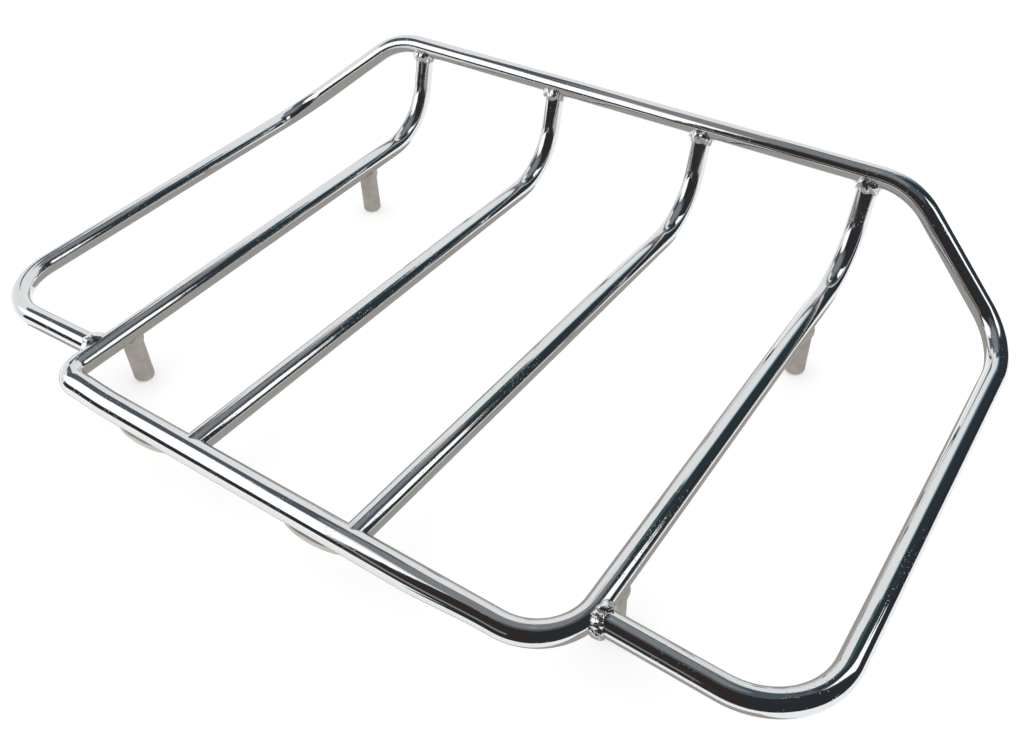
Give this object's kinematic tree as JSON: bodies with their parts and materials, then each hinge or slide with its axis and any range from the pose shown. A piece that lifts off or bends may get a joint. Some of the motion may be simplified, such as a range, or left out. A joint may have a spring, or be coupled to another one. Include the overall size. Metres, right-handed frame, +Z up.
{
  "type": "motorcycle luggage rack",
  "caption": "Welded bright-plated tube luggage rack: flat bars behind a front cross tube, a wide outer rail rising to a rear rail, and short posts with tapped feet.",
  "frame": {"origin": "under the middle of the outline, on the plane of the posts' feet", "axes": "+X across the rack, +Y from the front cross tube to the raised rear rail, +Z up"},
  "size_m": [0.5396, 0.3514, 0.0993],
  "materials": {
    "tube": "mirror-polished plating",
    "weld": "plated weld bead",
    "post": "satin plating",
    "pad": "satin plating"
  },
  "bodies": {
    "root": {"outer_rail": "tube", "inner_loop": "tube", "inner_bar_left": "tube", "inner_bar_right": "tube", "post_front_left": "post", "post_front_right": "post", "post_rear_left": "post", "post_rear_right": "post", "pad_left": "pad", "pad_right": "pad", "weld_post_front_left": "weld", "weld_post_front_right": "weld", "weld_post_rear_left": "weld", "weld_post_rear_right": "weld", "weld_stub_left": "weld", "weld_stub_right": "weld", "weld_rear_inner_left": "weld", "weld_rear_inner_right": "weld", "weld_rear_outer_left": "weld", "weld_rear_outer_right": "weld", "weld_pad_left_front": "weld", "weld_pad_left_back": "weld", "weld_pad_right_front": "weld", "weld_pad_right_back": "weld"}
  },
  "joints": []
}
